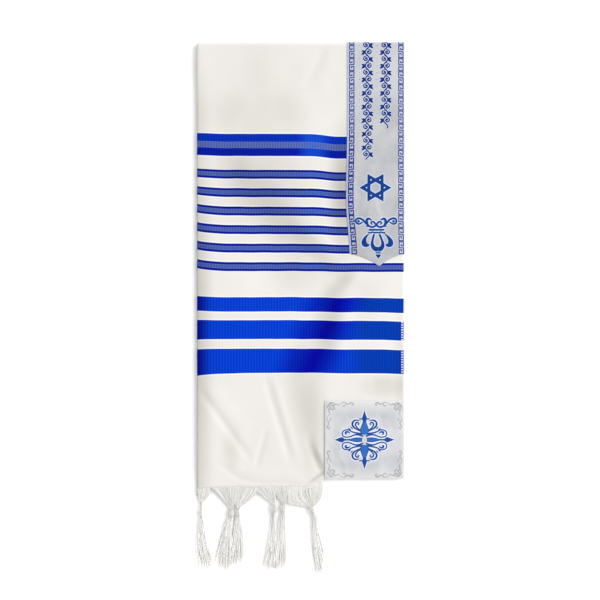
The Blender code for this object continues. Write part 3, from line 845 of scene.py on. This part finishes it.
# Distance from the medallion's middle and half width there, from the tip inwards.
SPEAR = ((50.4, 0.1), (46, 1.0), (41.5, 2.6), (38, 3.9), (36.4, 4.2), (35.8, 9.4), (34.6, 9.4),
         (34.0, 3.2), (30, 2.9), (24, 5.2), (18, 7.4), (12.5, 6.8), (8.6, 4.4))
SHAFT = ((50.4, 0.1), (44, 2.6), (39, 4.5), (37.2, 4.3), (34, 1.7), (30, 1.2), (25, 1.5),
         (19, 3.1), (14, 4.0), (8, 3.8), (2.4, 3.0))


def quarter(u, v, side, end):
    """A function that draws a smooth line in one quarter about u and v: left or right, up or down."""
    return lambda *points: curve([(u + side * x, v + end * y) for x, y in points])


def medallion(figure, u, v):
    """The patch's medallion: spears up and down, shafts left and right, and two scrolls in each quarter."""
    for side in (-1, 1):
        figure.stroke([(u, v + side * y) for y, _ in SPEAR], [w for _, w in SPEAR])
        figure.stroke([(u + side * x, v) for x, _ in SHAFT], [w for _, w in SHAFT])
        for end in (-1, 1):
            at = quarter(u, v, side, end)
            scroll = at((2.6, 10.0), (13, 11.4), (21, 13.6), (26, 16.4), (31.4, 16.8), (36.2, 14.4),
                        (37.8, 10.2))
            scroll += at((37.8, 10.2), (35.6, 6.0), (30, 4.4), (24, 5.4), (17, 8.2), (10, 8.4),
                         (2.6, 6.0))[1:]
            count = len(scroll)
            widths = [1.0 + 0.5 * abs(2 * k / (count - 1) - 1) ** 2.5 for k in range(count)]
            figure.stroke(scroll, widths)
            hook = at((24.6, 11.2), (27.6, 13.2), (31.2, 13.0), (31.8, 10.2), (29.8, 9.4))
            figure.stroke(hook, swelling(len(hook), 0.6, 1.7))
            heart = at((4.4, 13.2), (10.6, 16.6), (17.4, 20.6), (20.6, 26), (18.6, 31.4), (13.6, 33.2),
                       (8.6, 32.2))
            figure.stroke(heart, swelling(len(heart), 0.7, 1.6))
            inner = at((6.0, 15.6), (11.6, 19.8), (15.0, 24.2), (14.4, 28.4), (11.0, 29.2), (9.4, 26.4),
                       (11.4, 25.2))
            figure.stroke(inner, swelling(len(inner), 0.7, 1.3))
            for x, y, degrees in ((19.4, 17.6, 48), (22.8, 15.8, 44)):
                turn = math.radians(degrees)
                aim = math.degrees(math.atan2(end * math.sin(turn), side * math.cos(turn)))
                leaf(figure, u + side * x, v + end * y, aim, 6.8, 1.0)


halo = Figure(BAND_OUT + 0.05 * MM, 0.06 * MM)
blue = Figure(BAND_OUT + 0.25 * MM, 0.15 * MM, halo, 2.0)
core = Figure(BAND_OUT + 0.45 * MM, 0.1 * MM)
medallion(blue, PATCH_U, PATCH_V)
for side in (-1, 1):
    core.stroke([(PATCH_U, PATCH_V + side * y) for y, _ in SPEAR[8:]], [w - 1.1 for _, w in SPEAR[8:]])
    core.stroke([(PATCH_U + side * x, PATCH_V) for x, _ in SHAFT[6:]], [w - 1.3 for _, w in SHAFT[6:]])
mid_blue = woven_blue("medallion weft", shade(36, 86, 168), shade(20, 54, 132))
blue.piece("medallion", mid_blue, "patch_satin")
pale_edging = satin("pale edging", shade(234, 242, 255), shade(220, 232, 252))
halo.piece("medallion_edging", pale_edging, "patch_satin")
azure = woven_blue("azure weft", shade(62, 124, 202), shade(38, 92, 178))
core.piece("medallion_cores", azure, "patch_satin")


SELF_SCROLLS = (  # half width at the ends, half width in the middle, points
    (0.4, 1.3, ((62, 40), (58.6, 44), (60.4, 49), (57.0, 53.6), (60.8, 58.4), (56.6, 62.4), (51.6, 60.4),
                (53.2, 56.6))),
    (0.4, 1.1, ((57.6, 53.0), (53.6, 50.6), (51.2, 53.0), (53.0, 55.0))),
    (0.35, 1.1, ((61.4, 41), (63.4, 34), (60.0, 28), (62.8, 22), (60.4, 18.6), (58.2, 20.4), (59.6, 22.6))),
    (0.3, 1.0, ((61.6, 31.4), (57.8, 32.6), (57.0, 35.8), (59.2, 36.6))),
)


def self_scrolls(figure, u, v, side, end):
    """Scrolls along one corner of the patch, in its own colour, mirrored about the corner's diagonal."""
    at = quarter(u, v, side, end)
    for flip in (False, True):
        for ends, middle, points in SELF_SCROLLS:
            line = at(*[(y, x) if flip else (x, y) for x, y in points])
            figure.stroke(line, swelling(len(line), ends, middle))


quiet = Figure(BAND_OUT, 0.14 * MM)
for side in (-1, 1):
    for end in (-1, 1):
        self_scrolls(quiet, PATCH_U, PATCH_V, side, end)
frame_line = [(PATCH_LEFT + 2.6, PATCH_TOP + 2.6), (PATCH_RIGHT - 2.6, PATCH_TOP + 2.6)]
frame_line += [(PATCH_RIGHT - 2.6, PATCH_BOTTOM - 2.6), (PATCH_LEFT + 2.6, PATCH_BOTTOM - 2.6)]
quiet.stroke(frame_line, 0.3, closed=True)
grey_float = satin("grey float", shade(190, 191, 194), shade(166, 167, 172))
quiet.piece("patch_scrolls", grey_float, "patch_satin")

eyelet = Figure(BAND_OUT + 0.45 * MM, 0.5 * MM)
EYELET_STITCHES = 30
for k in range(EYELET_STITCHES):
    turn = 2 * math.pi * (k + 0.5) / EYELET_STITCHES
    reach = 3.8 + 1.2 * noise.noise((k * 1.7, 3.1, 0.4))
    stitch = [(PATCH_U + r * math.cos(turn), PATCH_V + r * 1.3 * math.sin(turn)) for r in (1.0, 2.4, reach)]
    eyelet.stroke(stitch, [0.3, 0.5, 0.45])
white_thread = satin("white thread", shade(248, 247, 243), shade(236, 234, 228))
eyelet.piece("eyelet_stitches", white_thread, "patch_satin")


# The fringe: warp ends left below both hems, drawn together into tassels with an overhand knot each.

YARN_RADIUS, KNOT_HEIGHT, KNOT_TURNS = 0.42 * MM, 3.7, 9

# Millimetres, with pairs for the left and the right: where the yarns are drawn in, the knot, how wide its
# core and its turns are, the roots, the ends, how late the yarns bend inwards, how they lean and flare, and
# how much shorter the outer ones are.
Tassel = namedtuple("Tassel", "yarns drawn_v knot_u knot_v core knot roots ends end_v late lean flare short")
TASSELS = (
    Tassel(56, 778, 7.8, 796, 0.7, 2.9, (1.5, 22.5), (6, 35), 895, (0.5, 1.1), -3.4, 0.8, (2, 3)),
    Tassel(104, 789, 58.4, 797, 1.35, 5.8, (20, 74), (37, 64), 893, (-0.1, 0.1), -1.5, 0.7, (5, 2)),
    Tassel(92, 788, 69.4, 796, 1.35, 5.8, (58, 106), (57, 82), 884, (0, 0.35), 2, 0.6, (0, 3)),
    Tassel(84, 782, 130.6, 789, 1.35, 5.8, (86, 134), (115, 139), 893, (-0.05, 0.1), 1.0, 1.2, (3, 1)),
    Tassel(80, 780, 146.6, 788, 1.35, 5.8, (122, 166), (134, 153), 892, (0, 0.5), 1.2, 0.6, (1, 1)),
    Tassel(96, 786, 195.2, 790, 1.35, 5.8, (154, 214), (204, 221), 898, (3.0, 1.2), -4.7, 0.4, (0, 22)),
)


def rough(k, number, draw):
    """A steady value from -1 to 1 for one yarn of one tassel, other for each draw."""
    return 2 * noise.cell((k * 7.31 + 0.5, number * 3.17 + 0.5, draw * 1.73 + 0.5)) - 1


def by_side(pair, aside):
    """The left or the right value of a pair, at its full size where aside is -1 or 1."""
    return pair[0] * max(0, -aside) + pair[1] * max(0, aside)


def yarn_path(number, tassel, k):
    """One yarn from the hem, in through the knot and out to its tip."""
    share = (k + 0.5) / tassel.yarns
    aside = 2 * share - 1
    root_u = tassel.roots[0] + share * (tassel.roots[1] - tassel.roots[0])
    hem = front_hem(root_u * MM)
    height = front_top(root_u * MM, hem) - 0.45 * MM
    knot_top, knot_foot = tassel.drawn_v, tassel.knot_v + 4.5
    points = []
    late = by_side(tassel.late, aside)
    layer = rough(k, number, 1)
    for t in (0, 0.15, 0.3, 0.45, 0.6, 0.75, 0.9):
        u = root_u + (tassel.knot_u + 1.9 * aside - root_u) * t ** (1 + late)
        v = hem / MM - 2.5 + (knot_top - hem / MM + 2.5) * t ** (1 / (1 + late))
        z = height + (3.8 * MM - height) * ease(0, 1, t) + YARN_RADIUS * layer * ease(0, 0.2, t)
        points.append(place(u * MM, v * MM, max(z, 0.7 * MM)))
    ring = math.pi * (aside + 0.35 * layer)
    for v, wide in ((knot_top + 2, 2.2), (tassel.knot_v, 2.0), (knot_foot, 2.4)):
        u = tassel.knot_u + tassel.core * wide * math.sin(ring)
        points.append(place(u * MM, v * MM, KNOT_HEIGHT * MM + wide * 0.72 * MM * math.cos(ring)))
    mixed = 0.9 * aside + 0.2 * rough(k, number, 2)
    end_u = sum(tassel.ends) / 2 + mixed * (tassel.ends[1] - tassel.ends[0]) / 2
    end_v = tassel.end_v + 1 - 6.5 * abs(rough(k, number, 3)) ** 1.3 - by_side(tassel.short, mixed)
    phase = 2.1 * round(3 * aside) + 1.3 * number
    start = tassel.knot_u + 2.4 * tassel.core * math.sin(ring)
    pile = (0.6 + 0.9 * abs(rough(k, number, 5)) + 0.3 * (1 - abs(mixed))) * MM
    for t in (0.1, 0.22, 0.34, 0.46, 0.58, 0.7, 0.82, 0.92, 1.0):
        u = start + (end_u - start) * t**tassel.flare + tassel.lean * math.sin(math.pi * t)
        u += 0.4 * math.sin(7.5 * t + phase) * t + 0.5 * rough(k, number, 4) * t
        v = knot_foot + (end_v - knot_foot) * t
        z = pile + ((KNOT_HEIGHT + 1.8 * math.cos(ring)) * MM - pile) * (1 - ease(0, 0.45, t))
        points.append(place(u * MM, v * MM, z))
    return curve([tuple(p) for p in points], 2)


def knot_turn(tassel, k):
    """One turn of the knot round the yarns, slanting the other way from its neighbours."""
    swell = 1 - 0.016 * (k - KNOT_TURNS // 2) ** 2
    loop = []
    for share in spread(0, 1, 24):
        turn = 2 * math.pi * share
        slope = (1.9 if k % 2 else -1.9) * math.cos(turn)
        u = tassel.knot_u + tassel.knot * swell * math.cos(turn)
        v = tassel.knot_v - 3.6 + 0.9 * k + slope
        loop.append(place(u * MM, v * MM, (4.0 + 3.3 * swell * math.sin(turn)) * MM))
    return loop


def yarn_piece(name, paths, finish):
    """One piece of round yarns, each along its own path and, where the path says so, with a thin end."""
    data = bpy.data.curves.new(name, "CURVE")
    data.dimensions = "3D"
    data.bevel_depth = YARN_RADIUS
    data.bevel_resolution = 1
    data.use_fill_caps = True
    for path, thin_end in paths:
        spline = data.splines.new("POLY")
        spline.points.add(len(path) - 1)
        for k, (point, co) in enumerate(zip(spline.points, path)):
            point.co = (*co, 1)
            point.radius = 1 - 0.55 * ease(0.9, 1, k / (len(path) - 1)) * thin_end
    data.materials.append(finish.material)
    return put_in_scene(name, data)


def fringe_yarn():
    """Off-white yarn with its twist, with painted shade on the fans, so it is brighter where it hangs loose.
    """
    yarn = Finish("fringe yarn", {
        "Roughness": 0.9, "Specular IOR Level": 0.1, "Sheen Weight": 0.7, "Sheen Roughness": 0.7,
        "Subsurface Weight": 0.6, "Subsurface Radius": (1, 1, 0.9), "Subsurface Scale": 0.0015,
    })
    where = yarn.node("ShaderNodeTexCoord", {}, {}, output=2)
    along = yarn.node("ShaderNodeSeparateXYZ", {}, {0: where}, output=0)
    round_it = yarn.node("ShaderNodeSeparateXYZ", {}, {0: where}, output=1)
    twist = (along * 110 + round_it * 2).wave(1)
    bright = along.maths("MULTIPLY_ADD", 4, -1.1, use_clamp=True)
    # Painted shade: the fans near the hem are a darker colour than the loose skirts.
    thread = yarn.blend(bright, shade(256, 253, 245), shade(270, 268, 261))
    streak = yarn.mottle(140, 3).between(0.5, 9, 3) * (1 - bright * 0.8)
    yarn.feed("Base Color", yarn.blend(streak, thread, shade(246, 242, 234)))
    yarn.relief(twist, 0.00005)
    return yarn


yarn = fringe_yarn()
for number, tassel in enumerate(TASSELS, 1):
    paths = [(yarn_path(number, tassel, k), 1) for k in range(tassel.yarns)]
    paths += [(knot_turn(tassel, k), 0) for k in range(KNOT_TURNS)]
    piece = yarn_piece(f"tassel_yarn_{number}", paths, yarn)
    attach(piece, "root")
    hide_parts(f"tassel_{number}")


# The floor, the light and the camera: a pale floor, broad soft light, and the camera straight above.

floor_mesh = bpy.data.meshes.new("floor")
floor_mesh.from_pydata([(-8, -8, 0), (8, -8, 0), (8, 8, 0), (-8, 8, 0)], [], [(0, 1, 2, 3)])
pale_floor = {"Roughness": 0.9, "Specular IOR Level": 0.1, "Base Color": (0.94, 0.94, 0.94, 1)}
floor_mesh.materials.append(Finish("pale floor", pale_floor).material)
floor = put_in_scene("floor", floor_mesh)
floor.location.z = -0.2 * MM

world = bpy.data.worlds.new("soft light")
world.use_nodes = True
background = world.node_tree.nodes["Background"].inputs
background["Color"].default_value = (1, 1, 1, 1)
background["Strength"].default_value = 0.74 * LIGHT_GAIN
bpy.context.scene.world = world

WINDOW_SIDE = Vector((3.0, 1.2, 2.1))
window = bpy.data.lights.new("window", "SUN")
window.angle = math.radians(50)
window.energy = 2.1 * LIGHT_GAIN
lamp = put_in_scene("window", window)
lamp.location = WINDOW_SIDE
lamp.rotation_euler = (-WINDOW_SIDE).to_track_quat("-Z", "Y").to_euler()

PIXEL, PICTURE_SIDE = 1.691 * MM, 600  # one pixel at the cloth's height, and pixels across the picture
ASIDE, ABOVE = -0.7, 7  # pixels from the shawl's middle to the picture's
CAMERA_HEIGHT, CLOTH_HEIGHT = 3.0, 6 * MM
camera_data = bpy.data.cameras.new("camera")
camera_data.lens = camera_data.sensor_width * (CAMERA_HEIGHT - CLOTH_HEIGHT) / (PICTURE_SIDE * PIXEL)
camera = put_in_scene("camera", camera_data)
camera.location = (ASIDE * PIXEL, ABOVE * PIXEL, CAMERA_HEIGHT)
bpy.context.scene.camera = camera
bpy.context.scene.view_settings.view_transform = "Standard"
